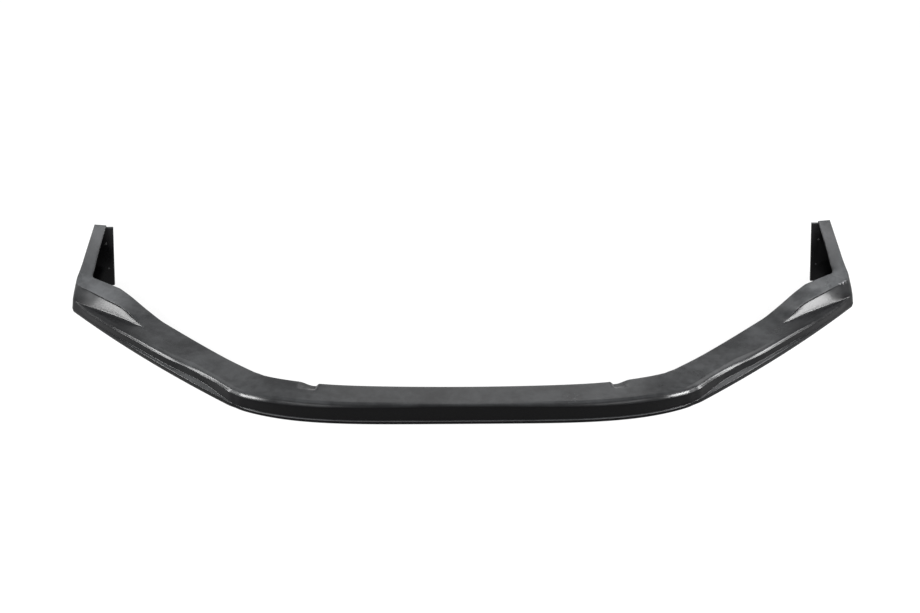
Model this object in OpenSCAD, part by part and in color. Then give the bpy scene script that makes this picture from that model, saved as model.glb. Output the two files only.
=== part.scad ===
// Front splitter lip for a car bumper: one hollow moulding, open at the back.
// X runs across the car, Y from the nose back to the arm ends, Z up.
// The origin is on the ground, on the centre line, halfway between nose and arm ends.

/* [Plan] */
// Half width of the nose, from the centre line to each knuckle
nose_half = 466; // [430:1:500]
// How far back the knuckles sit
nose_setback = 63; // [45:1:85]
// How flat the nose stays before it sweeps back to the knuckles
nose_flatness = 4.4; // [3:0.1:6]
// Half width over the corners
corner_half = 870; // [840:1:920]
// How far back the corners sit
corner_setback = 460; // [430:1:500]
// Outward bow of each side between knuckle and corner
side_bow = 10.5; // [5:0.5:18]
// Plan radius of the corners
corner_radius = 25; // [16:1:36]
// Half width at the arm ends
end_half = 851; // [830:1:865]
// How far back the arm ends sit
end_setback = 575; // [560:1:620]

/* [Blade] */
// Height of the nose above the ground
nose_height = 44; // [38:1:56]
// Height of the blade along the sides
side_height = 31; // [27:1:36]
// Height of the blade's edge at the corners
corner_height = 27; // [24:1:30]
// Depth of the blade at the centre line
nose_depth = 69.5; // [60:0.5:85]
// Depth of the blade at the knuckles
knuckle_depth = 82; // [74:0.5:92]
// Depth of the blade along the sides
side_depth = 91; // [86:0.5:98]
// Wall thickness of the moulding
wall = 4.5; // [3:0.1:5.5]
// Depth of the flange turned in under the front edge
return_depth = 24; // [18:1:34]
// Rounding of the nose's upper edge at the centre line
nose_edge_radius = 11; // [6:0.5:16]
// Rounding of the upper edge along the sides
side_edge_radius = 4; // [2.5:0.5:6]

/* [Lower lip] */
// Height of the lip along the foot of the nose
lip_height = 5.5; // [4:0.5:8]
// How far that lip leaves the nose's face behind its crease
lip_step = 2.5; // [1:0.1:4]
// Height of the sloping toe along the sides
toe_height = 12; // [9:0.5:14]
// Widest run of the sloping toe, just behind each knuckle
toe_depth = 12.5; // [8:0.5:15]
// How far the face above the toe lies behind the front edge there
face_depth = 16.5; // [12:0.5:19]

/* [Raised corners] */
// Length of each raised corner, measured back along the side from the corner
ramp_length = 228; // [200:1:260]
// Height of its front edge at the corner
shelf_front_height = 67; // [60:1:76]
// Height of its rear edge at the corner
shelf_rear_height = 80; // [76:1:92]
// Depth of its front edge at the foot of the ramp
leaf_depth = 48; // [42:0.5:56]

/* [Arms] */
// Height of the arm ends
end_height = 158; // [140:1:190]
// Inward lean of the outer skin at the corners
corner_lean = 17; // [12:0.5:20]
// Inward lean of the outer skin at the arm ends
end_lean = 30; // [22:0.5:36]
// Width of the arms' top band
band_width = 27; // [22:0.5:34]

// How far in from the corner the arm's inner corner lies
inner_corner_in = 47; // [43:0.5:52]
// How far behind the corner the arm's inner corner lies
inner_corner_back = 23; // [18:0.5:28]
// Length over which the inner corner is rounded, each way
inner_corner_radius = 9; // [6:0.5:12]

/* [End walls] */
// Thickness of the wall that closes each arm
end_wall = 7; // [5:0.5:9]
// How far the wall sits inside the arm's end
end_wall_inset = 2; // [1:0.5:4]
// Width of the wall at its top
wall_top_width = 70; // [62:1:84]
// Width of the wall at its foot
wall_foot_width = 58; // [50:1:70]
// How far the wall's top edge lies below the arm's end
wall_drop = 7; // [5:0.5:10]
// How far the wall's foot stays clear of the ground
wall_lift = 4; // [1:0.5:8]

/* [Screw holes] */
// Diameter of the holes in the end walls
screw_d = 4.2; // [3:0.1:6]
// Distance of the holes from the wall's inner edge
screw_edge = 14; // [10:0.5:17]
// Height of the lower hole
screw_low = 48; // [40:1:60]
// Height of the upper hole
screw_high = 111; // [95:1:120]

/* [Mounting pockets] */
// Distance of each pocket from the centre line
pocket_start = 300; // [280:1:330]
// Length of each pocket
pocket_length = 48; // [36:1:60]
// Depth of each pocket at its inner end
pocket_drop = 6; // [3:0.5:8]
// Width of each pocket, in from the rear edge
pocket_width = 26; // [18:1:32]

/* [Hidden] */
plastic_colour = [0.13, 0.13, 0.14];
screw_facets = 48;

function unit(v) = v / norm(v);
function turned(v, a) = [v[0] * cos(a) - v[1] * sin(a), v[0] * sin(a) + v[1] * cos(a)];
function mirrored(p) = [-p[0], p[1]];
function mix(a, b, t) = a + (b - a) * t;
function clamp(t) = max(0, min(1, t));
function ease(t) = let (c = clamp(t)) c * c * (3 - 2 * c);

// The front edge seen from above: nose curve, bowed side, corner arc, straight arm
knuckle_point = [nose_half, nose_setback];
corner_point = [corner_half, corner_setback];
end_point = [end_half, end_setback];
side_dir = unit(corner_point - knuckle_point);
arm_dir = unit(end_point - corner_point);
bow_angle = atan(4 * side_bow / norm(corner_point - knuckle_point));
side_end_dir = turned(side_dir, bow_angle);
corner_turn = acos(side_end_dir * arm_dir);
corner_cut = corner_radius * tan(corner_turn / 2);
arc_start = corner_point - side_end_dir * corner_cut;
arc_end = corner_point + arm_dir * corner_cut;
arc_centre = arc_start + turned(side_end_dir, 90) * corner_radius;

// Distances along the front edge, counted from the centre line
nose_run = norm(knuckle_point);
side_run = norm(arc_start - knuckle_point);
arc_run = corner_radius * corner_turn * PI / 180;
arm_run = norm(end_point - arc_end);
s_knuckle = nose_run;
s_corner = s_knuckle + side_run;
s_arm = s_corner + arc_run;
s_end = s_arm + arm_run;

// Stations as fractions of the nose, of the side, of the ramp back from the
// corner, and of the stretch from the corner to the arm end
function nose(f) = f * nose_run;
function side(f) = s_knuckle + f * side_run;
function ramp(f) = s_corner - f * ramp_length;
function arm(f) = mix(s_corner, s_end, f);

function nose_point(f) = [nose_half * f, nose_setback * pow(f, nose_flatness)];

function side_point(f) =
    let (chord = arc_start - knuckle_point)
    knuckle_point + chord * f + turned(unit(chord), -90) * 4 * side_bow * f * (1 - f);

function front_edge(s) =
    s < 0 ? mirrored(front_edge(-s)) :
    s <= s_knuckle ? nose_point(s / nose_run) :
    s <= s_corner ? side_point((s - s_knuckle) / side_run) :
    s <= s_arm ? arc_centre + turned(arc_start - arc_centre, corner_turn * (s - s_corner) / arc_run) :
    arc_end + arm_dir * (s - s_arm);

// Square to the front edge, turned gently round the knuckles
knuckle_blend = 10;

function square_in(s) =
    turned(unit(front_edge(s + knuckle_blend) - front_edge(s - knuckle_blend)), 90);

// A smooth curve through [station, value] pairs that never swings past them
function rise(t, i) = (t[i + 1][1] - t[i][1]) / (t[i + 1][0] - t[i][0]);

function knot_slope(t, i) =
    i == 0 ? 0 :
    i == len(t) - 1 ? rise(t, i - 1) :
    let (a = rise(t, i - 1), b = rise(t, i))
    a * b <= 0 ? 0 : 2 * a * b / (a + b);

function curve(t, s) =
    s <= t[0][0] ? t[0][1] :
    let (
        i = max([for (k = [0 : len(t) - 2]) if (t[k][0] <= s) k]),
        h = t[i + 1][0] - t[i][0],
        x = min(1, (s - t[i][0]) / h)
    )
    (2 * pow(x, 3) - 3 * x * x + 1) * t[i][1]
    + (pow(x, 3) - 2 * x * x + x) * h * knot_slope(t, i)
    + (3 * x * x - 2 * pow(x, 3)) * t[i + 1][1]
    + (pow(x, 3) - x * x) * h * knot_slope(t, i + 1);

// Heights that run on from the nose to the foot of the ramp
blade_heights = [
    [0, nose_height],
    [nose(0.75), nose_height - 1],
    [side(0.02), mix(side_height, nose_height, 0.55)],
    [side(0.25), side_height + 1]
];

rear_heights = concat(blade_heights, [
    [ramp(1), side_height],
    [ramp(0.73), mix(side_height, shelf_rear_height, 0.14)],
    [ramp(0.36), mix(side_height, shelf_rear_height, 0.47)],
    [ramp(0.12), mix(side_height, shelf_rear_height, 0.7)],
    [arm(0.09), mix(side_height, shelf_rear_height, 0.86)],
    [arm(0.3), shelf_rear_height],
    [s_end, end_height]
]);

leaf_heights = concat(blade_heights, [
    [ramp(0.93), side_height - 0.5],
    [ramp(0.8), mix(side_height, shelf_front_height, 0.07)],
    [ramp(0.68), mix(side_height, shelf_front_height, 0.28)],
    [ramp(0.58), mix(side_height, shelf_front_height, 0.39)],
    [ramp(0.3), mix(side_height, shelf_front_height, 0.68)],
    [ramp(0), shelf_front_height],
    [arm(0.17), shelf_front_height + 7],
    [arm(0.3), shelf_rear_height + 3],
    [s_end, end_height]
]);

foot_heights = concat(blade_heights, [
    [ramp(1), side_height - 1],
    [ramp(0.17), corner_height + 1],
    [ramp(0), corner_height + 3],
    [arm(0.17), corner_height + 17],
    [s_end, corner_height + 33]
]);

brow_heights = [
    [0, nose_height],
    [nose(0.75), nose_height - 1],
    [s_knuckle, mix(side_height, nose_height, 0.57)],
    [side(0.25), side_height + 0.5],
    [ramp(1), side_height - 1],
    [s_corner, corner_height]
];

rear_depths = [
    [0, nose_depth],
    [nose(0.52), mix(nose_depth, knuckle_depth, 0.45)],
    [nose(0.8), mix(nose_depth, knuckle_depth, 0.77)],
    [side(0.02), knuckle_depth],
    [side(0.29), side_depth - 3],
    [ramp(1), side_depth],
    [ramp(0.54), side_depth - 1.5],
    [ramp(0.29), side_depth - 7],
    [arm(0.47), corner_lean + band_width + 2],
    [s_end, end_lean + band_width]
];

// The rear edge seen from above; between shelf and band it rounds the inner corner
shelf_end_s = ramp(0.29);
round_start_s = arm(0);
round_end_s = arm(0.2);
band_start_s = arm(0.47);
inner_corner = corner_point + [-inner_corner_in, inner_corner_back];
shelf_end = square_point(shelf_end_s);
band_start = square_point(band_start_s);
round_start = inner_corner + unit(shelf_end - inner_corner) * inner_corner_radius;
round_end = inner_corner + unit(band_start - inner_corner) * inner_corner_radius;

function square_point(s) = front_edge(s) + square_in(s) * curve(rear_depths, s);
function share(s, s1, s2) = (s - s1) / (s2 - s1);

function rear_edge(s) =
    s <= shelf_end_s || s >= band_start_s ? square_point(s) :
    s <= round_start_s ? mix(shelf_end, round_start, share(s, shelf_end_s, round_start_s)) :
    s >= round_end_s ? mix(round_end, band_start, share(s, round_end_s, band_start_s)) :
    let (f = share(s, round_start_s, round_end_s))
    mix(mix(round_start, inner_corner, f), mix(inner_corner, round_end, f), f);

leaf_depths = [
    [0, 28],
    [nose(0.9), 32],
    [side(0.2), leaf_depth - 2],
    [ramp(1), leaf_depth],
    [ramp(0.58), leaf_depth],
    [ramp(0.3), mix(corner_lean, leaf_depth, 0.5)],
    [ramp(0.16), corner_lean + 4],
    [ramp(0), corner_lean - 2],
    [arm(0.09), corner_lean],
    [arm(0.3), corner_lean],
    [s_end, end_lean]
];

foot_depths = [
    [0, 22],
    [nose(0.9), 25],
    [side(0.2), leaf_depth - 10],
    [ramp(0.93), leaf_depth - 2],
    [ramp(0.8), leaf_depth - 4.5],
    [ramp(0.65), leaf_depth - 12.5],
    [ramp(0.33), leaf_depth - 26],
    [ramp(0), 8],
    [arm(0.2), 4],
    [s_end, 6]
];

edge_radii = [
    [0, nose_edge_radius],
    [nose(0.45), nose_edge_radius - 1],
    [nose(0.75), mix(side_edge_radius, nose_edge_radius, 0.3)],
    [side(0), side_edge_radius + 1],
    [side(0.3), side_edge_radius],
    [ramp(0.24), side_edge_radius],
    [arm(0.03), 2 * side_edge_radius]
];

face_depths = [
    [0, 1],
    [nose(0.7), 1.5],
    [nose(0.95), 1],
    [side(0), 2.5],
    [side(0.14), face_depth - 2.5],
    [side(0.26), face_depth],
    [side(0.39), face_depth - 6],
    [side(0.58), face_depth - 9],
    [side(0.73), 3],
    [side(0.85), 1.2]
];

toe_depths = [
    [0, lip_step],
    [nose(0.93), lip_step],
    [nose(0.985), 0.8],
    [side(0.06), 4],
    [side(0.2), toe_depth],
    [side(0.39), toe_depth - 5],
    [side(0.6), toe_depth - 7],
    [side(0.8), 1.5],
    [side(0.95), 0.2],
    [arm(0.07), -0.6]
];

toe_heights = [
    [0, lip_height],
    [nose(0.93), lip_height],
    [side(0), lip_height + 1],
    [side(0.1), toe_height - 1],
    [side(0.2), toe_height],
    [side(0.6), toe_height - 1],
    [side(0.8), toe_height - 4],
    [s_corner, toe_height - 5]
];

// Sink of the mounting pocket: a quick step down, a short floor and a long fade
function pocket_sink(s) =
    let (f = (abs(front_edge(s)[0]) - pocket_start) / pocket_length)
    s > s_knuckle || f <= 0 || f >= 1 ? 0 :
    pocket_drop * min(1, f / 0.12) * (1 - ease((f - 0.25) / 0.75));

// How much of the section has turned into the arm's plain skin
function arm_share(s) = ease(share(s, ramp(0.24), arm(0.09)));

// Inner point of a wall of even thickness at corner b of the path a, b, c
function inset(a, b, c) =
    let (
        d1 = unit(b - a),
        d2 = unit(c - b),
        n1 = [d1[1], -d1[0]],
        n2 = [d2[1], -d2[0]]
    )
    b + wall * (n1 + n2) / max(0.35, 1 + n1 * n2);

// Outer line of one section as [depth, height] points, from the flange turned in
// under the front edge, up the face, over the brow and back to the rear edge
function outer_line(s) =
    let (
        skin_share = arm_share(s),
        brow_h = curve(brow_heights, s),
        toe = [curve(toe_depths, s), curve(toe_heights, s)],
        r = min(curve(edge_radii, s), brow_h - toe[1] - wall),
        face_u = curve(face_depths, s),
        foot_z = curve(foot_heights, s),
        leaf = [curve(leaf_depths, s), curve(leaf_heights, s)],
        rear = [norm(rear_edge(s) - front_edge(s)), curve(rear_heights, s)],
        skin = function (z)
            toe[0] + (leaf[0] - toe[0]) * pow(clamp((z - toe[1]) / (leaf[1] - toe[1])), 1.4),
        settle = function (p) [mix(p[0], skin(p[1]), skin_share), p[1]],
        brow = [for (k = [0 : 3])
            settle([face_u + r * (1 - cos(30 * k)), brow_h - r + r * sin(30 * k) + 2 * k * skin_share])],
        foot = settle([curve(foot_depths, s), foot_z]),
        hollow = 1.2 * clamp((leaf[1] - foot_z) / 15) * (1 - skin_share),
        leaf_mid = settle(mix(foot, leaf, 0.5) + [hollow, -hollow]),
        depth = rear[0] - leaf[0],
        sink = [0, -pocket_sink(s)],
        pocket_in = min(pocket_width, 0.62 * depth) / depth,
        pocket_out = min(0.42 * pocket_width, 0.3 * depth) / depth
    )
    concat(
        [[return_depth, 0], [2, 0], [0, 2]],
        [[0.2 * max(toe[0], 0), 0.62 * toe[1]], toe, settle(mix(toe, brow[0], 0.5))],
        brow,
        [mix(brow[3], foot, 0.5), foot, leaf_mid, leaf],
        [for (f = [0.1, (1.1 - pocket_in) / 2, 1 - pocket_in]) mix(leaf, rear, f)],
        [mix(leaf, rear, 1 - pocket_out) + sink, rear + sink]
    );

// Outer points that an inner point answers to, from the rear edge round to the flange
mates = [18, 16, 13, 11, 8, 5, 1, 0];

function section(s) =
    let (
        outer = outer_line(s),
        path = concat([outer[0], [0, 0]], [for (k = [5 : -1 : 1]) outer[mates[k]]], [outer[18]])
    )
    concat(
        outer,
        [outer[18] - [0, wall]],
        [for (k = [6 : -1 : 1]) inset(path[k - 1], path[k], path[k + 1])],
        [[return_depth, wall]]
    );

function ring(s) =
    let (p = front_edge(s), n = unit(rear_edge(s) - p))
    [for (q = section(s)) [p[0] + n[0] * q[0], p[1] + n[1] * q[0], q[1]]];

function mirrored_ring(r) = [for (p = r) [-p[0], p[1], p[2]]];

// Stations of the sections over one half, closer where the shape changes faster
pocket_stations = [for (f = [0, 0.12, 0.25, 0.5, 0.75, 1])
    nose_run * (pocket_start + f * pocket_length) / nose_half];

stations = concat(
    [for (f = [0.1 : 0.1 : 0.6]) nose(f)],
    pocket_stations,
    [for (f = [0.79 : 0.03 : 1]) nose(f)],
    [for (f = [0.02 : 0.03 : 0.12]) side(f)],
    [for (f = [0.16 : 0.05 : 0.53]) side(f)],
    [for (f = [1 : -0.06 : 0.3]) ramp(f)],
    [for (f = [0.27 : -0.045 : 0]) ramp(f)],
    [for (f = [0.03 : 0.03 : 0.46]) arm(f)],
    [for (f = [0.55 : 0.15 : 1.01]) arm(min(1, f))]
);

module shell() {
    half = [for (s = stations) ring(s)];
    last = len(half) - 1;
    rings = concat([for (i = [last : -1 : 0]) mirrored_ring(half[i])], [ring(0)], half);
    size = len(rings[0]);
    middle = last + 1;
    corner = function (i, j) i * size + j % size;
    strips = [for (i = [0 : len(rings) - 2], j = [0 : size - 1])
        let (
            a = corner(i, j),
            b = corner(i, j + 1),
            c = corner(i + 1, j + 1),
            d = corner(i + 1, j)
        )
        each i < middle ? [[a, b, d], [b, c, d]] : [[a, b, c], [a, c, d]]];
    cap = [for (k = [0 : len(mates) - 2])
        let (inner = 19 + k)
        each concat(
            [for (j = [mates[k] : -1 : mates[k + 1] + 1]) [inner, j - 1, j]],
            [[inner, inner + 1, mates[k + 1]]]
        )];
    far = (len(rings) - 1) * size;
    near_cap = [for (t = cap) [t[2], t[1], t[0]]];
    far_cap = [for (t = cap) [far + t[0], far + t[1], far + t[2]]];
    points = [for (r = rings, p = r) p];
    polyhedron(points, concat(strips, near_cap, far_cap));
}

// Place of the end wall and its edges, for the right-hand arm
wall_back = end_setback - end_wall_inset;
wall_middle = wall_back - end_wall / 2;
wall_top = end_height - wall_drop;
arm_line_x = end_half + (end_setback - wall_middle) * (corner_half - end_half) / (end_setback - corner_setback);

function wall_inner_x(z) = end_half - mix(wall_foot_width, wall_top_width, z / wall_top);

// Middle of the outer skin's thickness at height z, where the wall joins it
function wall_outer_x(z) = arm_line_x - end_lean * pow(z / end_height, 1.4) - wall / 2;

// The two holes stand one above the other
screw_x = wall_inner_x((screw_low + screw_high) / 2) + screw_edge;

module end_wall_right() {
    difference() {
        translate([0, wall_back, 0])
            rotate([90, 0, 0])
                linear_extrude(end_wall)
                    polygon(concat(
                        [[wall_inner_x(wall_lift), wall_lift]],
                        [for (f = [0 : 0.2 : 1], z = [mix(wall_lift, wall_top, f)]) [wall_outer_x(z), z]],
                        [[wall_inner_x(wall_top), wall_top]]
                    ));
        for (z = [screw_low, screw_high])
            translate([screw_x, wall_back + 1, z])
                rotate([90, 0, 0])
                    cylinder(h = end_wall + 2, d = screw_d, $fn = screw_facets);
    }
}

module splitter_lip() {
    color(plastic_colour)
        translate([0, -end_setback / 2, 0])
            union() {
                shell();
                end_wall_right();
                mirror([1, 0, 0])
                    end_wall_right();
            }
}

splitter_lip();
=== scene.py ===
import math

import bmesh
import bpy
import numpy as np
from mathutils import Matrix, Vector


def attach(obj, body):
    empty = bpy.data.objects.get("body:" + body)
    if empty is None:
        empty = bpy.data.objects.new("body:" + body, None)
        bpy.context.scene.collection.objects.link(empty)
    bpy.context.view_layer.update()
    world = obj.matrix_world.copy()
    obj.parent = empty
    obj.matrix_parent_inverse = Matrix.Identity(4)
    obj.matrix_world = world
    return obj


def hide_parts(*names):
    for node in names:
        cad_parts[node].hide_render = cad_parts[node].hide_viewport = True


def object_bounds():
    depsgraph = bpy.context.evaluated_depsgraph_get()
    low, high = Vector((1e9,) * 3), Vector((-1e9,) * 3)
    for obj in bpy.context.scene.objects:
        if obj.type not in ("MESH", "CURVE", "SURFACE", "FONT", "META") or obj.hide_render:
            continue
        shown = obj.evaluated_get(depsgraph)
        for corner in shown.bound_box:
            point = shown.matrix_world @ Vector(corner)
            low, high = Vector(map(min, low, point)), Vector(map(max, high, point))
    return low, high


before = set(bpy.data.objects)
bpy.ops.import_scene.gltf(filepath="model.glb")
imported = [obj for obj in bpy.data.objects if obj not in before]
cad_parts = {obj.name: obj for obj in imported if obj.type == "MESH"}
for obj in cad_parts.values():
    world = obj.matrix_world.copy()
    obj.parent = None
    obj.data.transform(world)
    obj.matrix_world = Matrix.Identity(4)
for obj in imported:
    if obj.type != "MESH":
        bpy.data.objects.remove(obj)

cadBox = [list(corner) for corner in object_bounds()]
print("frame loaded, box", cadBox)

# The lip is lofted in millimetres from the nose's front edge, then moved onto the frame
plan = dict(
    noseHalf=466.0, noseSetback=63.0, noseFlatness=4.4,
    cornerHalf=870.0, cornerSetback=460.0, sideBow=10.5, cornerRadius=25.0,
    endHalf=851.0, endSetback=575.0,
    kneeBlend=10.0, kneeSoft=36.0, kneeSamples=5,
)

blade = dict(
    noseHeight=44.0, sideHeight=31.0, cornerHeight=27.0,
    noseDepth=69.5, kneeDepth=82.0, sideDepth=91.0,
    wall=4.5, returnDepth=24.0,
    noseEdgeRadius=11.5, sideEdgeRadius=5.5, browRoundness=0.24, browRoll=2.0,
    lipHeight=7.2, lipStep=3.2, toeHeight=12.0, toeDepth=12.5, faceDepth=16.5,
)

shoulder = dict(
    rampLength=228.0, frontHeight=67.0, rearHeight=80.0, leafDepth=48.0,
    endHeight=158.0, cornerLean=17.0, endLean=30.0, bandWidth=27.0,
    innerCornerIn=47.0, innerCornerBack=23.0, innerCornerRadius=12.0,
    recess=3.8, leafHollow=0.3,
)

# steepEnd and easeFrom are shares of the pocket's length, floorShare of its width
pocket = dict(start=303.0, length=48.0, drop=6.5, width=26.0, floorShare=0.42, steepEnd=0.2, easeFrom=0.3)


def mix(a, b, t):
    return a + (b - a) * t


def clamp(t):
    return max(0.0, min(1.0, t))


def ease(t):
    t = clamp(t)
    return t * t * (3 - 2 * t)


def unit(v):
    return v / np.linalg.norm(v)


def turned(v, degrees):
    c, s = math.cos(math.radians(degrees)), math.sin(math.radians(degrees))
    return np.array([v[0] * c - v[1] * s, v[0] * s + v[1] * c])


# Front edge seen from above: nose curve, bowed side, corner arc, straight arm
kneePoint = np.array([plan["noseHalf"], plan["noseSetback"]])
cornerPoint = np.array([plan["cornerHalf"], plan["cornerSetback"]])
endPoint = np.array([plan["endHalf"], plan["endSetback"]])
armDir = unit(endPoint - cornerPoint)
cornerChord = cornerPoint - kneePoint
bowAngle = math.degrees(math.atan(4 * plan["sideBow"] / np.linalg.norm(cornerChord)))
sideEndDir = turned(unit(cornerChord), bowAngle)
cornerTurn = math.degrees(math.acos(float(sideEndDir @ armDir)))
cornerCut = plan["cornerRadius"] * math.tan(math.radians(cornerTurn / 2))
arcStart = cornerPoint - sideEndDir * cornerCut
arcEnd = cornerPoint + armDir * cornerCut
arcCentre = arcStart + turned(sideEndDir, 90) * plan["cornerRadius"]
sideChord = arcStart - kneePoint

kneeAt = float(np.linalg.norm(kneePoint))
sideRun = float(np.linalg.norm(sideChord))
cornerAt = kneeAt + sideRun
armAt = cornerAt + plan["cornerRadius"] * math.radians(cornerTurn)
endAt = armAt + float(np.linalg.norm(endPoint - arcEnd))


def nose(f):
    return f * kneeAt


def side(f):
    return kneeAt + f * sideRun


def ramp(f):
    return cornerAt - f * shoulder["rampLength"]


def arm(f):
    return mix(cornerAt, endAt, f)


def edgeLine(s):
    if s < 0:
        return edgeLine(-s) * (-1, 1)
    if s <= kneeAt:
        f = s / kneeAt
        return np.array([plan["noseHalf"] * f, plan["noseSetback"] * f ** plan["noseFlatness"]])
    if s <= cornerAt:
        f = (s - kneeAt) / sideRun
        return kneePoint + sideChord * f + turned(unit(sideChord), -90) * 4 * plan["sideBow"] * f * (1 - f)
    if s <= armAt:
        return arcCentre + turned(arcStart - arcCentre, cornerTurn * (s - cornerAt) / (armAt - cornerAt))
    return arcEnd + armDir * (s - armAt)


def frontEdge(s):
    # the same line with the turn at the knee spread out
    spread = plan["kneeSoft"] - abs(abs(s) - kneeAt)
    if spread <= 0:
        return edgeLine(s)
    each = plan["kneeSamples"]
    return sum(edgeLine(s + spread * k / each) for k in range(-each, each + 1)) / (2 * each + 1)


def squareIn(s):
    reach = plan["kneeBlend"]
    return turned(unit(frontEdge(s + reach) - frontEdge(s - reach)), 90)


def curve(knots, s):
    # smooth through the knots, never swinging past them
    if s <= knots[0][0]:
        return knots[0][1]
    last = len(knots) - 1
    i = max(k for k in range(last) if knots[k][0] <= s)

    def rise(k):
        return (knots[k + 1][1] - knots[k][1]) / (knots[k + 1][0] - knots[k][0])

    def slope(k):
        if k == 0:
            return 0.0
        if k == last:
            return rise(k - 1)
        a, b = rise(k - 1), rise(k)
        return 0.0 if a * b <= 0 else 2 * a * b / (a + b)

    h = knots[i + 1][0] - knots[i][0]
    x = min(1.0, (s - knots[i][0]) / h)
    return ((2 * x**3 - 3 * x * x + 1) * knots[i][1] + (x**3 - 2 * x * x + x) * h * slope(i)
            + (3 * x * x - 2 * x**3) * knots[i + 1][1] + (x**3 - x * x) * h * slope(i + 1))


b, sh = blade, shoulder
sideH, noseH, cornerH = b["sideHeight"], b["noseHeight"], b["cornerHeight"]

# Heights and depths in knots along the lip
bladeHeights = [(0, noseH), (nose(0.75), noseH - 1), (side(0.02), mix(sideH, noseH, 0.55)),
                (side(0.25), sideH + 1)]
rearHeights = bladeHeights + [
    (ramp(1), sideH), (ramp(0.73), mix(sideH, sh["rearHeight"], 0.14)),
    (ramp(0.36), mix(sideH, sh["rearHeight"], 0.47)), (ramp(0.12), mix(sideH, sh["rearHeight"], 0.7)),
    (arm(0.09), mix(sideH, sh["rearHeight"], 0.86)), (arm(0.3), sh["rearHeight"]),
    (endAt, sh["endHeight"])]
leafHeights = bladeHeights + [
    (ramp(1), sideH - 0.9), (ramp(0.92), sideH - 0.2), (ramp(0.86), sideH + 1.2), (ramp(0.81), sideH + 3.9),
    (ramp(0.75), sideH + 9.2), (ramp(0.68), sideH + 14.2), (ramp(0.6), sideH + 17.4),
    (ramp(0.5), sideH + 19.7), (ramp(0.375), sideH + 21.5),
    (ramp(0.25), sideH + 24), (ramp(0.125), sideH + 28.5), (ramp(0), sh["frontHeight"]),
    (arm(0.17), sh["frontHeight"] + 7), (arm(0.3), sh["rearHeight"] + 3), (endAt, sh["endHeight"])]
footHeights = bladeHeights + [
    (ramp(1), sideH - 1), (ramp(0.17), cornerH + 1), (ramp(0), cornerH + 3),
    (arm(0.17), cornerH + 17), (endAt, cornerH + 33)]
browHeights = [(0, noseH), (nose(0.75), noseH - 1), (kneeAt, mix(sideH, noseH, 0.57)),
               (side(0.25), sideH + 0.5), (ramp(1), sideH - 1), (cornerAt, cornerH)]
rearDepths = [
    (0, b["noseDepth"]), (nose(0.52), mix(b["noseDepth"], b["kneeDepth"], 0.45)),
    (nose(0.8), mix(b["noseDepth"], b["kneeDepth"], 0.77)), (side(0.02), b["kneeDepth"]),
    (side(0.29), b["sideDepth"] - 3), (ramp(1), b["sideDepth"]), (ramp(0.54), b["sideDepth"] - 1.5),
    (ramp(0.29), b["sideDepth"] - 7), (arm(0.47), sh["cornerLean"] + sh["bandWidth"] + 2),
    (endAt, sh["endLean"] + sh["bandWidth"])]
leafDepths = [
    (0, 28), (nose(0.9), 32), (side(0.2), sh["leafDepth"] - 2), (ramp(1), sh["leafDepth"]),
    (ramp(0.86), sh["leafDepth"] - 0.3), (ramp(0.68), sh["leafDepth"] - 0.2),
    (ramp(0.6), sh["leafDepth"] - 0.8), (ramp(0.5), sh["leafDepth"] - 3.3),
    (ramp(0.375), sh["leafDepth"] - 8.3), (ramp(0.25), sh["leafDepth"] - 14),
    (ramp(0.125), sh["leafDepth"] - 22), (ramp(0), sh["cornerLean"] - 1), (arm(0.09), sh["cornerLean"]),
    (arm(0.3), sh["cornerLean"]), (endAt, sh["endLean"])]
footDepths = [
    (0, 22), (nose(0.9), 25), (side(0.2), sh["leafDepth"] - 10), (ramp(1), sh["leafDepth"] - 1.5),
    (ramp(0.81), sh["leafDepth"] - 4.5), (ramp(0.25), sh["leafDepth"] - 30.5),
    (ramp(0.125), 11.5), (ramp(0), 7), (arm(0.2), 4), (endAt, 6)]
edgeRadii = [
    (0, b["noseEdgeRadius"]), (nose(0.45), b["noseEdgeRadius"] - 1),
    (nose(0.8), mix(b["sideEdgeRadius"], b["noseEdgeRadius"], 0.5)), (side(0), b["sideEdgeRadius"] + 1),
    (side(0.3), b["sideEdgeRadius"]), (ramp(1), b["sideEdgeRadius"] - 1),
    (ramp(0.24), b["sideEdgeRadius"] - 2), (arm(0.03), b["sideEdgeRadius"] + 2)]
faceDepths = [
    (0, 1), (nose(0.7), 1.5), (nose(0.95), 1), (side(0), 2.5), (side(0.14), b["faceDepth"] - 2.5),
    (side(0.26), b["faceDepth"]), (side(0.39), b["faceDepth"] - 6), (side(0.58), b["faceDepth"] - 9),
    (side(0.73), 3), (side(0.85), 1.2)]
toeDepths = [
    (0, b["lipStep"]), (nose(0.93), b["lipStep"]), (nose(0.985), 0.8), (side(0.06), 4),
    (side(0.2), b["toeDepth"]), (side(0.39), b["toeDepth"] - 5), (side(0.6), b["toeDepth"] - 7),
    (side(0.8), 1.5), (side(0.95), 0.2), (arm(0.07), -0.6)]
toeHeights = [
    (0, b["lipHeight"]), (nose(0.93), b["lipHeight"]), (side(0), b["lipHeight"] + 1),
    (side(0.1), b["toeHeight"] - 1), (side(0.2), b["toeHeight"]), (side(0.6), b["toeHeight"] - 1),
    (side(0.8), b["toeHeight"] - 4), (cornerAt, b["toeHeight"] - 5)]

# Along the arms the band climbs by its own setback, so both its edges rise evenly
armFrom, armTo = plan["cornerSetback"], plan["endSetback"]
armLeafHeights = [
    (armFrom - 10, sh["frontHeight"] - 3), (armFrom - 0.6, sh["frontHeight"]),
    (armFrom + 20.5, sh["frontHeight"] + 8.7), (armTo - 4.9, sh["endHeight"])]
armRearHeights = [
    (armFrom + 10, sh["rearHeight"] - 14), (armFrom + 19.9, sh["rearHeight"] - 9.3),
    (armFrom + 31.5, sh["rearHeight"] - 2.7), (armTo - 9.3, sh["endHeight"])]


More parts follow.
